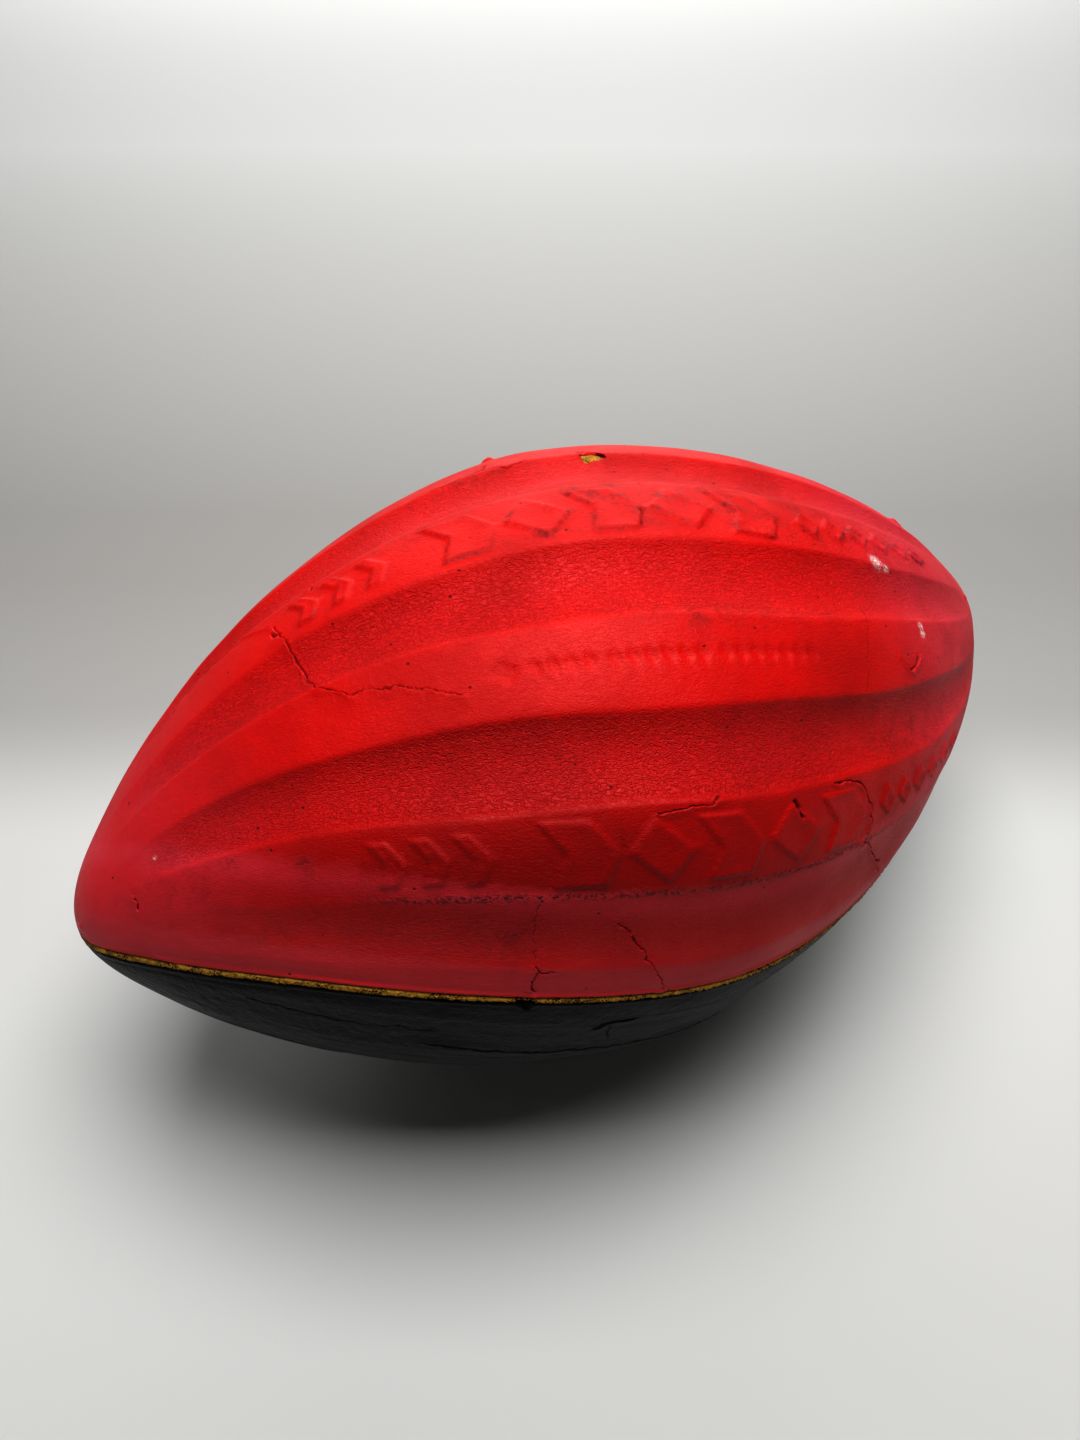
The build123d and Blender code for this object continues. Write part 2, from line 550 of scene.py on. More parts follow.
def tip_place(sizes):
    """x at which the ball is only as thick as half the seam, where a skin's edges meet."""
    x = np.linspace(sizes.length / 2 - sizes.nose_length, sizes.length / 2, 2000)
    return float(x[np.argmax(outline_radius(x, sizes) <= sizes.seam / 2)])


def press_half(obj, sizes, side, inset):
    """Gives a half sphere the ball's outline, between the two edges that the skin has at the seam."""
    co = read_points(obj)
    x = co[:, 0] / np.linalg.norm(co, axis=1) * tip_place(sizes)
    ribs = outline_radius(x, sizes)
    column = even_columns(np.arctan2(np.abs(co[:, 2]), co[:, 1]), sizes)
    height = side * seam_height(x, sizes) + sizes.seam / 2
    edge = np.arcsin(np.clip(height / ribs, -1, 1))
    margin = np.clip(2.2 * edge, sizes.rib_angle / 2, pi / 2)
    from_edge = np.clip(np.minimum(column, pi - column), 0, None)
    spread = edge + (margin - edge) * (from_edge / margin) ** 1.5
    lifted = np.where(from_edge < margin, spread, from_edge)
    angle = np.where(column > pi / 2, pi - lifted, lifted)
    write_points(obj, x, side * angle, ribs - inset)


def edge_distance(x, angle, radius, sizes, side):
    """Distance from each place on a skin to its nearer edge at the seam."""
    height = side * seam_height(x, sizes) + sizes.seam / 2
    edge = np.arcsin(np.clip(height / radius, -1, 1))
    from_plane = np.minimum(side * angle, pi - side * angle)
    return (from_plane - edge) * radius


def lining(skin, sizes, side):
    """The smooth inside of a skin, as a coarse half of its own."""
    obj = add_sphere(skin.name + "_lining", LINING_GRID)
    keep_half(obj, side)
    press_half(obj, sizes, side, sizes.skin)
    co = read_points(obj)
    x, angle, _ = places(co, side * pi / 2)
    radius = outline_radius(x, sizes) - sizes.skin - flute_drop(x, angle, sizes)
    write_points(obj, x, angle, np.maximum(radius, 0.1 * MM))
    activate(obj)
    bpy.ops.object.mode_set(mode="EDIT")
    bpy.ops.mesh.select_all(action="SELECT")
    bpy.ops.mesh.flip_normals()
    bpy.ops.object.mode_set(mode="OBJECT")
    return obj


def keep_half(obj, side):
    """Cuts the sphere at the seam plane and keeps the half on that side."""
    activate(obj)
    bpy.ops.object.mode_set(mode="EDIT")
    bpy.ops.mesh.select_all(action="SELECT")
    bpy.ops.mesh.bisect(plane_co=(0, 0, 0), plane_no=(0, 0, side), clear_inner=True, threshold=0.001)
    bpy.ops.object.mode_set(mode="OBJECT")


def cut_hole(obj, middle, spot, width):
    """Takes out the faces round a spot, with a ragged rim that stays in one piece."""

    def near(co):
        x, angle, radius = places(co, middle)
        turn = np.arctan2((angle - radians(spot[1])) * radius, x - spot[0] * MM)
        ragged = 1 + 0.22 * np.sin(3 * turn + 1) + 0.1 * np.sin(7 * turn)
        return spot_distance(x, angle, radius, spot) < width * ragged

    activate(obj)
    bpy.ops.object.mode_set(mode="EDIT")
    bpy.ops.mesh.select_mode(type="FACE")
    bpy.ops.mesh.select_all(action="DESELECT")
    bpy.ops.object.mode_set(mode="OBJECT")
    obj.data.polygons.foreach_set("select", near(face_centres(obj)))
    bpy.ops.object.mode_set(mode="EDIT")
    bpy.ops.mesh.delete(type="FACE")
    bpy.ops.object.mode_set(mode="OBJECT")


def bridge_open(obj, wanted):
    """Closes the gap between two open loops, whose edges wanted picks by the place of their middle."""
    bpy.ops.object.mode_set(mode="EDIT")
    bpy.ops.mesh.select_mode(type="EDGE")
    bpy.ops.mesh.select_all(action="DESELECT")
    bpy.ops.mesh.select_non_manifold()
    bpy.ops.object.mode_set(mode="OBJECT")
    picked = np.empty(len(obj.data.edges), bool)
    ends = np.empty(len(obj.data.edges) * 2, int)
    obj.data.edges.foreach_get("select", picked)
    obj.data.edges.foreach_get("vertices", ends)
    middles = read_points(obj)[ends.reshape(-1, 2)].mean(axis=1)
    obj.data.edges.foreach_set("select", picked & wanted(middles))
    bpy.ops.object.mode_set(mode="EDIT")
    bpy.ops.mesh.bridge_edge_loops()
    bpy.ops.object.mode_set(mode="OBJECT")


def join_wall(skin, inside, middle, spots):
    """Joins the lining to the skin and closes the wall round each hole, and then round the seam."""
    reach = 14 * MM  # past a hole's rim, and short of the seam
    activate(skin)
    inside.select_set(True)
    bpy.ops.object.join()
    for spot in spots:
        bridge_open(skin, lambda co, spot=spot: spot_distance(*places(co, middle), spot) < reach)
    bridge_open(skin, lambda co: np.ones(len(co), bool))


def seam_relief(co, edge):
    """Height of a skin's rolled edge at the seam, with a trimmed lip and a crease behind it."""
    trim = 0.6 + 0.4 * ripple(co, 14 * MM, 6)
    lip = 0.3 * MM * np.exp(-(((edge - 0.7 * MM) / (0.45 * MM)) ** 2))
    crease = 0.3 * MM * np.exp(-(((edge - 1.8 * MM) / (0.5 * MM)) ** 2))
    rolled = 0.5 * MM * (1 - smooth(edge / (0.7 * MM))) ** 2
    return (lip - crease) * trim - rolled


def foam_relief(co, edge, side, sizes):
    """Height of the foam's own unevenness, and of the puckered patches, strongest in the black."""
    uneven = ripple(co, 30 * MM, 2) + 0.5 * ripple(co, 11 * MM, 3)
    patches = smooth(ripple(co, 16 * MM, 12) * 1.4 + 0.15) * smooth(edge / (5 * MM))
    pucker = (0.1 if side > 0 else 0.34) * MM
    return sizes.waviness * uneven * smooth(edge / (6 * MM)) + pucker * patches * ripple(co, 2.6 * MM, 13)


def torn_edge(co, x, angle, edge, ribs, side):
    """New angles for a skin's points: the edge at the seam is ragged, and the black has its notch."""
    ragged = ripple(co, 1.2 * MM, 8)
    by_edge = 1 - smooth(edge / (1.5 * MM))
    moved = angle + side * 0.2 * MM / ribs * ragged * by_edge
    if side > 0:
        return moved
    place, half_width, bite = (value * MM for value in TORN_NOTCH)
    torn = 1 - smooth(np.abs(x - place) / half_width + 0.25 * ragged)
    torn *= side * angle > pi / 2
    return moved + bite * torn * (1 - smooth(edge / (4 * MM))) / ribs


def store_wear_and_painted_light(obj, co, x, angle, edge, side, sizes):
    """Keeps how grained, rubbed and dull each place on a skin is, and where painted light, sheen and shade
    go.
    """
    # The grain fills the flutes, most of all their lower walls, and covers the ribs at the right end.
    flute = flute_drop(x, angle, sizes) / sizes.flute_depth
    patch = 0.5 + 0.5 * ripple(co, 24 * MM, 9) + 0.25 * ripple(co, 9 * MM, 10)
    nose = smooth((sizes.length / 2 - np.abs(x) - 8 * MM) / (25 * MM))
    pitch = 2 * pi / sizes.rib_count
    from_top = side * np.abs(angle - side * pi / 2)
    lower_wall = smooth((from_top % pitch - pitch * 0.45) / (pitch * 0.3))
    pebble = smooth(flute * 2.5) * (0.35 + 0.5 * patch + 0.35 * lower_wall)
    pebble += 0.55 * patch * smooth((x - 15 * MM) / (35 * MM)) + 0.2
    pebble = np.clip(pebble, 0.08, 1) * nose * (smooth(edge / (3 * MM)) * 0.9 + 0.1)
    store(obj, "pebble", pebble)
    # A bright line runs along the seam itself, and a plain rim 8 mm wide beside it.
    store(obj, "edge", 1 - smooth(edge / (1.6 * MM)))
    store(obj, "rim", 1 - smooth((edge - 8.3 * MM) / (1.2 * MM)))
    # Rubbing has dulled both ends, the seam's side and a band below the lowest full rib; the paler ends are
    # partly painted light, and the flutes get a painted sheen.
    right_end = smooth((x - 46 * MM) / (45 * MM))
    left_end = 0.7 * smooth((-x - 68 * MM) / (55 * MM))
    near_seam = 0.22 * (1 - smooth((edge - 4 * MM) / (22 * MM)))
    below_rib = np.exp(-(((edge - 25.5 * MM) / (3.5 * MM)) ** 2)) * (edge < 28.6 * MM)
    haze_and_painted_light = np.maximum(np.maximum(right_end, left_end), near_seam)
    store(obj, "haze_and_painted_light", np.clip(haze_and_painted_light + 0.45 * below_rib + 0.12 * np.clip(flute, 0, 1), 0, 1))
    # Painted shade deepens the colour of that rib, on one side of the ball.
    low = np.exp(-(((side * angle - radians(155)) / radians(17)) ** 2))
    store(obj, "painted_rib_shade", low * np.exp(-(((x + 36 * MM) / (72 * MM)) ** 2)))


def skin_shape(obj, sizes, side, cracks):
    """Sculpts the outside of a skin, and keeps its wear for the material."""
    co = read_points(obj)
    x, angle, _ = places(co, side * pi / 2)
    ribs = outline_radius(x, sizes)
    edge = edge_distance(x, angle, ribs, sizes, side)

    wobble = [
        (ripple(co, 3.2 * MM, seed) * 0.75 + ripple(co, 0.9 * MM, seed) * 0.3) * MM for seed in (4, 5)
    ]
    split, dark = crack_relief(x, angle, ribs, cracks, wobble)
    height = split - flute_drop(x, angle, sizes) + foam_relief(co, edge, side, sizes) + seam_relief(co, edge)
    if side > 0:
        height += motif_height(x, angle, ribs, sizes)
        for place, turn, width, rise in FLAKES:
            gap = spot_distance(x + wobble[0], angle + wobble[1] / ribs, ribs, (place, turn))
            height += rise * MM * (1 - smooth(gap / (width * MM / 2)))
    angle = torn_edge(co, x, angle, edge, ribs, side)
    write_points(obj, x, angle, ribs + height)
    # Painted shade inside the cracks.
    store(obj, "crack", dark)
    store_wear_and_painted_light(obj, co, x, angle, edge, side, sizes)
    return x, angle, ribs


def smudge_marks(x, angle, radius):
    """How dirty each place is from handling."""
    dirt = np.zeros(len(x))
    for sx, sa, along, across, strength in SMUDGES:
        u = (x - sx * MM) / (along * MM)
        v = (angle - radians(sa)) * radius / (across * MM)
        dirt = np.maximum(dirt, strength * np.exp(-(u * u + v * v)))
    return dirt


def scuffed_line(x, angle, radius):
    """The pitted, rubbed line along the lower edge of one rib."""
    line = np.abs(angle - radians(157.2)) * radius
    reach = smooth((x + 75 * MM) / (25 * MM)) * smooth((60 * MM - x) / (25 * MM))
    return np.exp(-((line / (0.6 * MM)) ** 2)) * reach


def make_skin(name, sizes, side, refine):
    """One coloured skin, from a half sphere pressed to the ball's outline."""
    middle = side * pi / 2
    obj = add_sphere(name, SKIN_GRID)
    keep_half(obj, side)
    press_half(obj, sizes, side, 0)
    for level in refine:
        subdivide_where(obj, lambda co, level=level: level(*places(co, middle)))
    return obj


def near_edge(x, angle, radius, sizes, side, gap, least):
    """Whether a face lies by a skin's edge. Near the tips, under the least radius, faces are small."""
    return (edge_distance(x, angle, radius, sizes, side) < gap) & (radius > least)


def red_levels(sizes):
    """Which faces of the red skin are split, in four rounds of finer and finer detail."""
    spots = [flake[:3] for flake in FLAKES] + FLECKS + [CHIP]

    def detail(x, angle, radius, motif_gap, crack_gap, spot_gap):
        near = nearest_outline(x, angle, radius) < motif_gap
        near |= nearest_crack(x, angle, radius, RED_CRACKS) < crack_gap
        for spot in spots:
            near |= spot_distance(x, angle, radius, spot) < spot[2] * MM + spot_gap
        return near

    def first(x, angle, radius):
        near = detail(x, angle, radius, 1.5 * MM, 2.6 * MM, 2 * MM)
        return near | near_edge(x, angle, radius, sizes, 1, 3.5 * MM, 25 * MM)

    def second(x, angle, radius):
        near = detail(x, angle, radius, 0.65 * MM, 1.3 * MM, 1 * MM)
        return near | near_edge(x, angle, radius, sizes, 1, 2 * MM, 45 * MM)

    def by_crack(gap):
        return lambda x, angle, radius: nearest_crack(x, angle, radius, RED_CRACKS) < gap

    return [first, second, by_crack(0.55 * MM), by_crack(0.22 * MM)]


def black_levels(sizes):
    """Which faces of the black skin are split: all its sides at first, then cracks and the edge."""

    def first(x, angle, radius):
        sides = np.abs(angle + pi / 2) > radians(25)
        return sides | near_edge(x, angle, radius, sizes, -1, 3.5 * MM, 25 * MM)

    def second(x, angle, radius):
        near = nearest_crack(x, angle, radius, BLACK_CRACKS) < 1.5 * MM
        return near | near_edge(x, angle, radius, sizes, -1, 2 * MM, 45 * MM)

    def third(x, angle, radius):
        return nearest_crack(x, angle, radius, BLACK_CRACKS) < 0.6 * MM

    return [first, second, third]


def build_red_skin(sizes, colours):
    """The red upper skin, with its motifs, cracks and chip."""
    obj = make_skin("red_skin_moulded", sizes, 1, red_levels(sizes))
    cut_hole(obj, pi / 2, CHIP, CHIP[2] * MM)
    x, angle, radius = skin_shape(obj, sizes, 1, RED_CRACKS)
    fleck = np.zeros(len(x))
    for fx, fa, width in FLECKS:
        fleck = np.maximum(fleck, 1 - smooth(spot_distance(x, angle, radius, (fx, fa)) / (width * MM)))
    store(obj, "fleck", fleck)
    outline = np.exp(-((nearest_outline(x, angle, radius) / (0.7 * MM)) ** 2))
    upper_row = smooth((radians(105) - angle) / radians(4))
    store(obj, "dirt", np.clip(smudge_marks(x, angle, radius) + 0.55 * outline * upper_row, 0, 1))
    store(obj, "scuff", scuffed_line(x, angle, radius))
    inside = lining(obj, sizes, 1)
    cut_hole(inside, pi / 2, CHIP, (CHIP[2] + 3) * MM)
    join_wall(obj, inside, pi / 2, [CHIP])
    store_uv(obj, sizes)
    twist_ribs(obj, sizes)
    finish_piece(obj, "red_skin", red_material(colours))
    return obj


def build_black_skin(sizes, colours):
    """The black lower skin."""
    obj = make_skin("black_skin_moulded", sizes, -1, black_levels(sizes))
    skin_shape(obj, sizes, -1, BLACK_CRACKS)
    inside = lining(obj, sizes, -1)
    join_wall(obj, inside, -pi / 2, [])
    store_uv(obj, sizes)
    twist_ribs(obj, sizes)
    finish_piece(obj, "black_skin", black_material(colours))
    return obj


# ---------------------------------------------------------------- the foam core


def build_foam_core(sizes, colours):
    """The foam body, with its rough trimmed flash standing in the seam."""
    obj = add_sphere("foam_core_moulded", CORE_GRID)
    co = read_points(obj)
    x = co[:, 0] * sizes.length / 2
    angle = even_columns(np.arctan2(co[:, 2], co[:, 1]), sizes)
    write_points(obj, x, angle, outline_radius(x, sizes))
    # Three finer rounds by the seam, each nearer to it and further from the tips' small faces.
    for gap, least in ((3.2 * MM, 20 * MM), (2.0 * MM, 30 * MM), (1.1 * MM, 40 * MM)):
        def near_seam(co, gap=gap, least=least):
            off_seam = np.abs(co[:, 2] - seam_height(co[:, 0], sizes))
            return (off_seam < gap) & (np.abs(co[:, 1]) > least)

        subdivide_where(obj, near_seam)

    co = read_points(obj)
    x, angle, _ = places(co, 0)
    ribs = outline_radius(x, sizes)
    from_seam = np.abs(ribs * np.sin(angle) - seam_height(x, sizes))
    in_seam = 1 - smooth((from_seam - sizes.seam / 2 + 0.05 * MM) / (0.15 * MM) + 0.5)
    grit = 0.9 * ripple(co, 0.45 * MM, 21) + 0.4 * ripple(co, 1.6 * MM, 22)
    flash = sizes.seam_proud * (0.5 + 1.2 * grit)
    sunk = sizes.skin + 0.06 * MM
    height = in_seam * flash - (1 - in_seam) * sunk - flute_drop(x, angle, sizes)
    nick = TORN_NOTCH
    torn = 1 - smooth(np.abs(x - nick[0] * MM) / (nick[1] * MM))
    torn *= 1 - smooth((from_seam - 1.0 * MM) / (3 * MM))
    torn *= np.cos(angle) < 0
    height -= 3.2 * MM * torn * smooth(0.5 - (ribs * np.sin(angle)) / (1.2 * MM))
    height += 0.9 * MM * (1 - smooth(spot_distance(x, angle, ribs, CHIP) / (4 * MM)))
    write_points(obj, x, angle, np.maximum(ribs + height, 0))
    store(obj, "grit", np.clip(0.5 + grit, 0, 1))
    twist_ribs(obj, sizes)
    finish_piece(obj, "foam_core", foam_material(colours))
    return obj


# ---------------------------------------------------------------- finishes


def linear(hex_colour):
    """An sRGB hex value as a linear colour."""
    parts = [int(hex_colour[i : i + 2], 16) / 255 for i in (1, 3, 5)]
    return [p / 12.92 if p <= 0.04045 else ((p + 0.055) / 1.055) ** 2.4 for p in parts] + [1.0]


def new_material(name):
    """An empty node material and its tree."""
    material = bpy.data.materials.new(name)
    material.use_nodes = True
    material.node_tree.nodes.clear()
    return material, material.node_tree


def add_node(tree, kind, settings=None, links=None):
    """Adds one node. Settings name properties or, by number or name, sockets; links feed sockets."""
    node = tree.nodes.new("ShaderNode" + kind)
    for key, value in (settings or {}).items():
        if isinstance(key, str) and hasattr(node, key):
            setattr(node, key, value)
        else:
            node.inputs[key].default_value = value
    for key, source in (links or {}).items():
        tree.links.new(source, node.inputs[key])
    return node


def mix_colour(tree, share, first, second):
    """first, going over to second by share. Each colour is a socket or a linear colour."""
    node = add_node(tree, "Mix", {"data_type": "RGBA"})
    for index, value in ((0, share), (6, first), (7, second)):
        if isinstance(value, bpy.types.NodeSocket):
            tree.links.new(value, node.inputs[index])
        else:
            node.inputs[index].default_value = value
    return node.outputs[2]


def maths(tree, operation, first, second=0.0, third=0.0):
    """One sum on numbers or sockets."""
    node = add_node(tree, "Math", {"operation": operation})
    for index, value in enumerate((first, second, third)):
        if isinstance(value, bpy.types.NodeSocket):
            tree.links.new(value, node.inputs[index])
        else:
            node.inputs[index].default_value = value
    return node.outputs[0]


def step_up(tree, value, low, high):
    """0 where value is under low, 1 over high, and an even slope between."""
    node = add_node(
        tree, "MapRange", {"interpolation_type": "SMOOTHSTEP", 1: low, 2: high}, {0: value}
    )
    return node.outputs[0]


def attribute(tree, name):
    """A number kept on the mesh's points."""
    return add_node(tree, "Attribute", {"attribute_name": name}).outputs["Fac"]


def lumps(tree, vector, size, detail=2.0, roughness=0.5, distortion=0.0):
    """Noise with lumps of about that size in metres."""
    settings = {"Scale": 1 / size, "Detail": detail, "Roughness": roughness, "Distortion": distortion}
    return add_node(tree, "TexNoise", settings, {"Vector": vector}).outputs["Fac"]


def bump(tree, height, distance, strength, under=None, sunk=False):
    """Relief of a height in metres, laid over the relief under it."""
    links = {"Height": height}
    if under is not None:
        links["Normal"] = under
    settings = {"Distance": distance, "Strength": strength, "invert": sunk}
    return add_node(tree, "Bump", settings, links).outputs[0]


def surface(tree, settings, links):
    """The surface that the eye sees, as the material's output."""
    shader = add_node(tree, "BsdfPrincipled", settings, links)
    add_node(tree, "OutputMaterial", None, {"Surface": shader.outputs[0]})


def red_material(colours):
    """In-mould polyurethane skin over foam, moulded against a leather-grained tool: satin and deeply
    coloured, with worm-like wrinkles in the flutes and smooth ribs dirtied by handling. Painted shade
    deepens one rib and fills the cracks and pits; painted light and sheen pale the ends and the flutes."""
    material, tree = new_material("moulded_polyurethane_skin_red")
    place = add_node(tree, "TexCoord").outputs["Object"]
    flat = add_node(tree, "UVMap", {"uv_map": "along_and_round"}).outputs["UV"]
    # The wrinkles are about twice as long along the ball as round it.
    stretched = add_node(tree, "Mapping", {"Scale": (0.55, 1.0, 1.0)}, {"Vector": flat}).outputs[0]
    wrinkle = lumps(tree, stretched, 0.75 * MM, 2.0, 0.6, 0.5)
    creased = step_up(tree, maths(tree, "ABSOLUTE", maths(tree, "SUBTRACT", wrinkle, 0.5)), 0.0, 0.1)
    grain = maths(tree, "ADD", maths(tree, "MULTIPLY", creased, 0.5), wrinkle)
    wrinkle_height = maths(tree, "MULTIPLY", grain, attribute(tree, "pebble"))
    fine = lumps(tree, place, 0.45 * MM, 2.0, 0.6)
    scuff = attribute(tree, "scuff")
    pits = step_up(tree, lumps(tree, place, 0.8 * MM, 3.0, 0.65), 0.46, 0.6)
    pitted = maths(tree, "MULTIPLY", scuff, pits)

    cloud = step_up(tree, lumps(tree, place, 24 * MM, 4.0, 0.6), 0.35, 0.7)
    colour = mix_colour(tree, cloud, linear(colours.red), linear(colours.deep_red))
    rim_wear = maths(tree, "MULTIPLY", attribute(tree, "rim"), 0.5)
    colour = mix_colour(tree, rim_wear, colour, linear(colours.scuff))
    # Painted shade deepens the red of the lowest full rib, on one side of the ball.
    colour = mix_colour(tree, attribute(tree, "painted_rib_shade"), colour, linear(colours.painted_rib_shade))
    # Paler red: rubbed paint, with painted light on the ends and a painted sheen in the flutes.
    rubbed = maths(tree, "MULTIPLY_ADD", lumps(tree, place, 14 * MM, 5.0, 0.6), 0.9, 0.3)
    haze_and_painted_light = maths(tree, "MULTIPLY", attribute(tree, "haze_and_painted_light"), rubbed)
    colour = mix_colour(tree, haze_and_painted_light, colour, linear(colours.haze_and_painted_light))
    bright_edge = maths(tree, "MULTIPLY", attribute(tree, "edge"), 0.5)
    colour = mix_colour(tree, bright_edge, colour, linear(colours.red))
    blotch = step_up(tree, lumps(tree, place, 5 * MM, 6.0, 0.7, 0.4), 0.38, 0.66)
    speck = step_up(tree, lumps(tree, place, 1.1 * MM, 4.0, 0.7), 0.42, 0.6)
    grime = maths(tree, "MULTIPLY", blotch, maths(tree, "ADD", maths(tree, "MULTIPLY", speck, 0.6), 0.3))
    dirt = maths(tree, "MULTIPLY", attribute(tree, "dirt"), grime)
    colour = mix_colour(tree, dirt, colour, linear(colours.dirt))
    cell = add_node(tree, "TexVoronoi", {"Scale": 1 / (4.5 * MM)}, {"Vector": place})
    chance = add_node(tree, "SeparateColor", None, {0: cell.outputs["Color"]}).outputs[0]
    chosen = step_up(tree, chance, 0.62, 0.64)
    dot = maths(tree, "SUBTRACT", 1.0, step_up(tree, cell.outputs["Distance"], 0.04, 0.09))
    dots = maths(tree, "MULTIPLY", dot, chosen)
    colour = mix_colour(tree, maths(tree, "MULTIPLY", dots, 0.8), colour, linear(colours.dirt))
    colour = mix_colour(tree, maths(tree, "MULTIPLY", scuff, 0.2), colour, linear(colours.scuff))
    # Painted shade in the rubbed pits and inside the cracks.
    colour = mix_colour(tree, pitted, colour, linear(colours.crack))
    colour = mix_colour(tree, attribute(tree, "crack"), colour, linear(colours.crack))
    chalk = maths(tree, "MULTIPLY", attribute(tree, "fleck"), step_up(tree, fine, 0.4, 0.55))
    colour = mix_colour(tree, chalk, colour, linear(colours.fleck))

    rough = add_node(tree, "MapRange", {3: 0.46, 4: 0.6}, {0: cloud}).outputs[0]
    dimples = lumps(tree, place, 3.2 * MM, 3.0, 0.55)
    relief = bump(tree, dimples, 0.3 * MM, 0.6)
    relief = bump(tree, wrinkle_height, 0.42 * MM, 0.85, relief)
    relief = bump(tree, dots, 0.25 * MM, 0.8, relief, sunk=True)
    relief = bump(tree, fine, 0.08 * MM, 0.5, relief)
    relief = bump(tree, pitted, 0.5 * MM, 0.8, relief, sunk=True)
    sheen = {"IOR": 1.48, "Specular IOR Level": 0.17}
    surface(tree, sheen, {"Base Color": colour, "Roughness": rough, "Normal": relief})
    return material


def black_material(colours):
    """The same moulded skin in black: dull, with long grey rub marks, fine dust and painted shade inside its
    cracks.
    """
    material, tree = new_material("moulded_polyurethane_skin_black")
    place = add_node(tree, "TexCoord").outputs["Object"]
    flat = add_node(tree, "UVMap", {"uv_map": "along_and_round"}).outputs["UV"]
    drawn = add_node(tree, "Mapping", {"Scale": (0.18, 1.0, 1.0)}, {"Vector": flat}).outputs[0]
    rub = step_up(tree, lumps(tree, drawn, 4 * MM, 6.0, 0.7, 0.3), 0.45, 0.7)
    dust = step_up(tree, lumps(tree, place, 1.2 * MM, 4.0, 0.7), 0.55, 0.75)
    wrinkle = lumps(tree, flat, 1.2 * MM, 2.5, 0.55, 0.8)
    ridged = maths(tree, "ABSOLUTE", maths(tree, "SUBTRACT", wrinkle, 0.5))
    height = maths(tree, "MULTIPLY", ridged, attribute(tree, "pebble"))
    fine = lumps(tree, place, 0.5 * MM, 2.0, 0.6)
    marks = maths(tree, "MULTIPLY", maths(tree, "ADD", rub, maths(tree, "MULTIPLY", dust, 0.4)), 0.55)
    colour = mix_colour(tree, marks, linear(colours.black), linear(colours.black_scuff))
    # Painted shade inside the cracks.
    colour = mix_colour(tree, attribute(tree, "crack"), colour, linear(colours.crack))
    rough = add_node(tree, "MapRange", {3: 0.4, 4: 0.62}, {0: rub}).outputs[0]
    rough_patch = lumps(tree, place, 2.2 * MM, 5.0, 0.7)
    relief = bump(tree, rough_patch, 1.0 * MM, 0.8)
    relief = bump(tree, height, 0.6 * MM, 0.7, relief)
    relief = bump(tree, fine, 0.08 * MM, 0.5, relief)
    sheen = {"IOR": 1.48, "Specular IOR Level": 0.1}
    surface(tree, sheen, {"Base Color": colour, "Roughness": rough, "Normal": relief})
    return material


def foam_material(colours):
    """Cut open-cell polyurethane foam: mustard with age, fully matt, with dark pits at every cell and
    painted shade where the flash sits low.
    """
    material, tree = new_material("polyurethane_foam_cut")
    place = add_node(tree, "TexCoord").outputs["Object"]
    cells = lumps(tree, place, 0.42 * MM, 4.0, 0.7)
    pit = step_up(tree, cells, 0.475, 0.53)
    patches = step_up(tree, lumps(tree, place, 6 * MM, 3.0, 0.6), 0.4, 0.65)
    # Painted shade: the flash is darker where it sits low.
    low = maths(tree, "SUBTRACT", 1.0, step_up(tree, attribute(tree, "grit"), 0.25, 0.6))
    pitted = maths(tree, "MULTIPLY", pit, maths(tree, "ADD", patches, 0.3))
    dark = maths(tree, "MAXIMUM", pitted, maths(tree, "MULTIPLY", low, 0.35))
    colour = mix_colour(tree, dark, linear(colours.foam), linear(colours.foam_pit))
    matt = {"Roughness": 0.95, "Specular IOR Level": 0.2}
    surface(tree, matt, {"Base Color": colour, "Normal": bump(tree, cells, 0.5 * MM, 1.0)})
    return material


def floor_material(colours, turn):
    """Matt studio paper, pale in front, with painted shade as a soft grey fade behind the ball and painted
    light paling it far behind.
    """
    material, tree = new_material("studio_paper")
    place = add_node(tree, "TexCoord").outputs["Object"]
    facing = {"vector_type": "TEXTURE", "Rotation": (0, 0, turn)}
    turned = add_node(tree, "Mapping", facing, {"Vector": place})
    behind = add_node(tree, "SeparateXYZ", None, {0: turned.outputs[0]}).outputs["Y"]
    # Painted shade in a grey band behind the ball, then painted light making the floor paler far behind.
    fade = step_up(tree, behind, 0.02, 0.09)
    further = add_node(tree, "MapRange", {1: 0.09, 2: 0.2}, {0: behind}).outputs[0]
    far = maths(tree, "MULTIPLY", further, 0.25)
    back = add_node(tree, "MapRange", {1: 0.2, 2: 0.62}, {0: behind}).outputs[0]
    grey = maths(tree, "ADD", maths(tree, "MULTIPLY", fade, 0.85), far)
    colour = mix_colour(tree, grey, linear(colours.floor), linear(colours.floor_shade))
    colour = mix_colour(tree, back, colour, linear(colours.far_floor_painted_light))
    surface(tree, {"Roughness": 0.8}, {"Base Color": colour})
    return material


# ---------------------------------------------------------------- the stage


def soft_light(name, place, rotation, size, power):
    """A flat soft light at a place, which shines straight down before it is turned."""
    bpy.ops.object.light_add(type="AREA", location=place, rotation=rotation)
    lamp = bpy.context.object
    lamp.name = name
    lamp.data.shape = "RECTANGLE"
    lamp.data.size, lamp.data.size_y = size
    lamp.data.energy = power
    return lamp


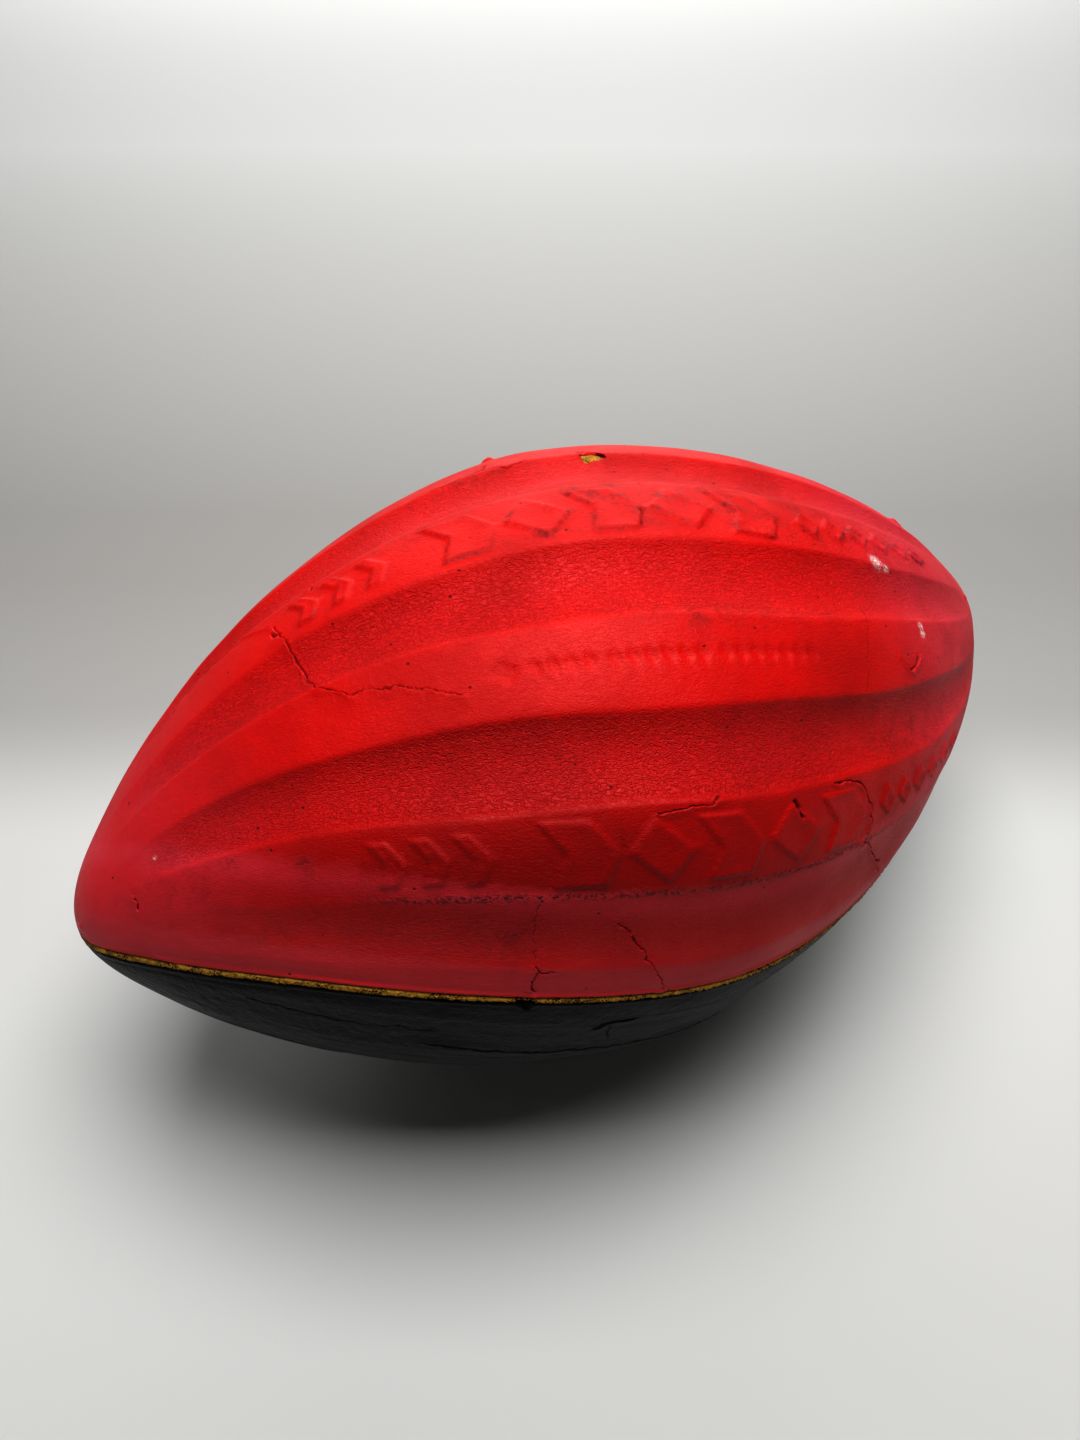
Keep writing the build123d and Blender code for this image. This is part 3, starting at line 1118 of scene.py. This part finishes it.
def build_stage(stage, colours):
    """The floor, a far round wall, soft lights overhead and behind, and the camera."""
    floor_z = CAD_BOX[0].z
    back = Vector(stage.camera_back)
    away = Vector((-back.x, -back.y, 0)).normalized()
    turn = atan2(-away.x, away.y)

    bpy.ops.object.select_all(action="DESELECT")
    bpy.ops.mesh.primitive_circle_add(vertices=96, radius=2.6, fill_type="NGON", location=(0, 0, 0))
    floor = bpy.context.object
    floor.name = "studio_floor"
    floor.data.transform(Matrix.Translation((0, 0, floor_z)))
    floor.data.materials.append(floor_material(colours, turn))

    bpy.ops.object.select_all(action="DESELECT")
    bpy.ops.mesh.primitive_cylinder_add(vertices=96, radius=2.59, depth=1.6, end_fill_type="NOTHING")
    wall = bpy.context.object
    wall.name = "studio_wall"
    wall.data.transform(Matrix.Translation((0, 0, floor_z + 0.79)))
    wall.data.materials.append(floor.data.materials[0])

    right = Vector((away.y, -away.x, 0))
    above = away * 0.02 + right * 0.03 + Vector((0, 0, 0.6))
    soft_light("overhead", above, (0, 0, turn), (0.46, 0.38), stage.key_power)
    behind = away * 1.45 + Vector((0, 0, 0.5))
    soft_light("behind", behind, (radians(65), 0, turn + pi), (1.5, 0.8), stage.back_power)

    world = bpy.data.worlds.new("room")
    bpy.context.scene.world = world
    world.use_nodes = True
    world.node_tree.nodes["Background"].inputs["Color"].default_value = (1, 1, 1, 1)
    world.node_tree.nodes["Background"].inputs["Strength"].default_value = stage.ambient

    bpy.ops.object.camera_add(location=stage.camera_place)
    camera = bpy.context.object
    camera.name = "camera"
    camera.rotation_mode = "QUATERNION"
    camera.rotation_quaternion = (-back).to_track_quat("-Z", "Y")
    camera.data.lens = stage.lens
    camera.data.sensor_width = 36
    camera.data.clip_start = 0.01
    bpy.context.scene.camera = camera
    bpy.context.scene.view_settings.view_transform = "Standard"
    bpy.context.scene.view_settings.gamma = 0.82


# ---------------------------------------------------------------- operators and panel


class FOOTBALL_OT_foam_core(bpy.types.Operator):
    """Adds the foam core with its rough flash"""

    bl_idname = "football.foam_core"
    bl_label = "Foam core"

    def execute(self, context):
        build_foam_core(context.scene.ball_sizes, context.scene.ball_colours)
        return {"FINISHED"}


class FOOTBALL_OT_red_skin(bpy.types.Operator):
    """Adds the red upper skin"""

    bl_idname = "football.red_skin"
    bl_label = "Red skin"

    def execute(self, context):
        build_red_skin(context.scene.ball_sizes, context.scene.ball_colours)
        return {"FINISHED"}


class FOOTBALL_OT_black_skin(bpy.types.Operator):
    """Adds the black lower skin"""

    bl_idname = "football.black_skin"
    bl_label = "Black skin"

    def execute(self, context):
        build_black_skin(context.scene.ball_sizes, context.scene.ball_colours)
        return {"FINISHED"}


class FOOTBALL_OT_stage(bpy.types.Operator):
    """Adds the floor, the lights and the camera"""

    bl_idname = "football.stage"
    bl_label = "Stage"

    def execute(self, context):
        build_stage(context.scene.ball_stage, context.scene.ball_colours)
        return {"FINISHED"}


class FOOTBALL_PT_panel(bpy.types.Panel):
    """The football's sizes, colours and pieces"""

    bl_idname = "FOOTBALL_PT_panel"
    bl_label = "Football"
    bl_space_type = "VIEW_3D"
    bl_region_type = "UI"
    bl_category = "Football"

    def draw(self, context):
        for operator in OPERATORS:
            self.layout.operator(operator.bl_idname)
        for group in (context.scene.ball_sizes, context.scene.ball_colours, context.scene.ball_stage):
            box = self.layout.box()
            for name in type(group).__annotations__:
                box.prop(group, name)


OPERATORS = (FOOTBALL_OT_foam_core, FOOTBALL_OT_red_skin, FOOTBALL_OT_black_skin, FOOTBALL_OT_stage)
CLASSES = (BallSizes, BallColours, StageSettings, *OPERATORS, FOOTBALL_PT_panel)


def register():
    """Adds the settings, the operators and the panel."""
    for cls in CLASSES:
        bpy.utils.register_class(cls)
    bpy.types.Scene.ball_sizes = PointerProperty(type=BallSizes)
    bpy.types.Scene.ball_colours = PointerProperty(type=BallColours)
    bpy.types.Scene.ball_stage = PointerProperty(type=StageSettings)


def unregister():
    """Takes them away again."""
    del bpy.types.Scene.ball_stage
    del bpy.types.Scene.ball_colours
    del bpy.types.Scene.ball_sizes
    for cls in reversed(CLASSES):
        bpy.utils.unregister_class(cls)


def main():
    """Builds the ball and its stage."""
    register()
    bpy.ops.football.foam_core()
    bpy.ops.football.red_skin()
    bpy.ops.football.black_skin()
    bpy.ops.football.stage()


if __name__ == "__main__":
    main()
